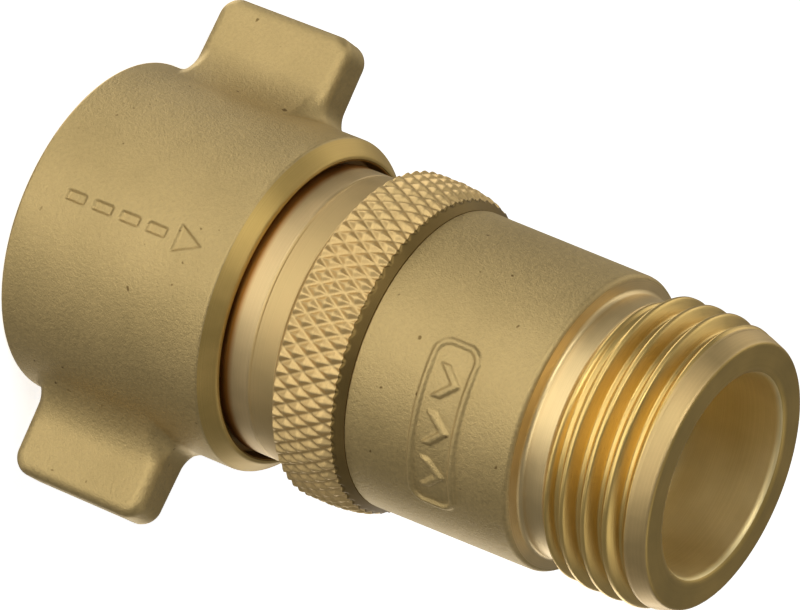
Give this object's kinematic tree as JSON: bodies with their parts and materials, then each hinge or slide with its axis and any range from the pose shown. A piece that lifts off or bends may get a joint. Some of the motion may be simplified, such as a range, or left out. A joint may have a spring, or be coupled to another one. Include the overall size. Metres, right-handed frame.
{
  "type": "water pressure regulator",
  "caption": "In-line hose pressure regulator: winged swivel inlet nut, knurled collar, cast barrel with a spring-loaded piston inside, and a male hose thread at the outlet.",
  "frame": {"origin": "centre of the inlet nut's open face, where the regulator stands", "axes": "+Z along the flow, from the inlet nut to the outlet rim; the nut's wings point along +X and -X"},
  "size_m": [0.048, 0.032, 0.0675],
  "materials": {
    "cast_brass": "matte, blasted casting",
    "turned_brass": "satin, turned",
    "steel": "bright",
    "rubber": "matt",
    "plastic": "smooth, off-white"
  },
  "bodies": {
    "regulator": {"inlet_tail": "turned_brass", "swivel_washer": "plastic", "tail_seal": "rubber", "screen_rim": "steel", "screen_mesh": "steel", "inlet_cap": "turned_brass", "seat_carrier": "turned_brass", "seat_disc": "rubber", "seat_washer": "steel", "seat_screw": "steel", "stem_seal": "rubber", "stem_backup_ring": "plastic", "spring_seat": "steel", "spring": "steel", "retaining_ring": "steel", "body_seal": "rubber", "outlet_body": "cast_brass"},
    "nut": {"swivel_nut": "cast_brass", "hose_washer": "rubber"},
    "piston": {"piston": "turned_brass", "head_seal": "rubber"}
  },
  "joints": [
    {"name": "nut_swivel", "type": "hinge", "parent": "regulator", "child": "nut", "pos_m": [0, 0, 0.0189], "axis": [0, 0, 1], "continuous": true},
    {"name": "piston_slide", "type": "slide", "parent": "regulator", "child": "piston", "axis": [0, 0, -1], "range_m": [0, 0.0015], "stiffness_N_per_m": 6200, "deforming": ["spring"]}
  ]
}
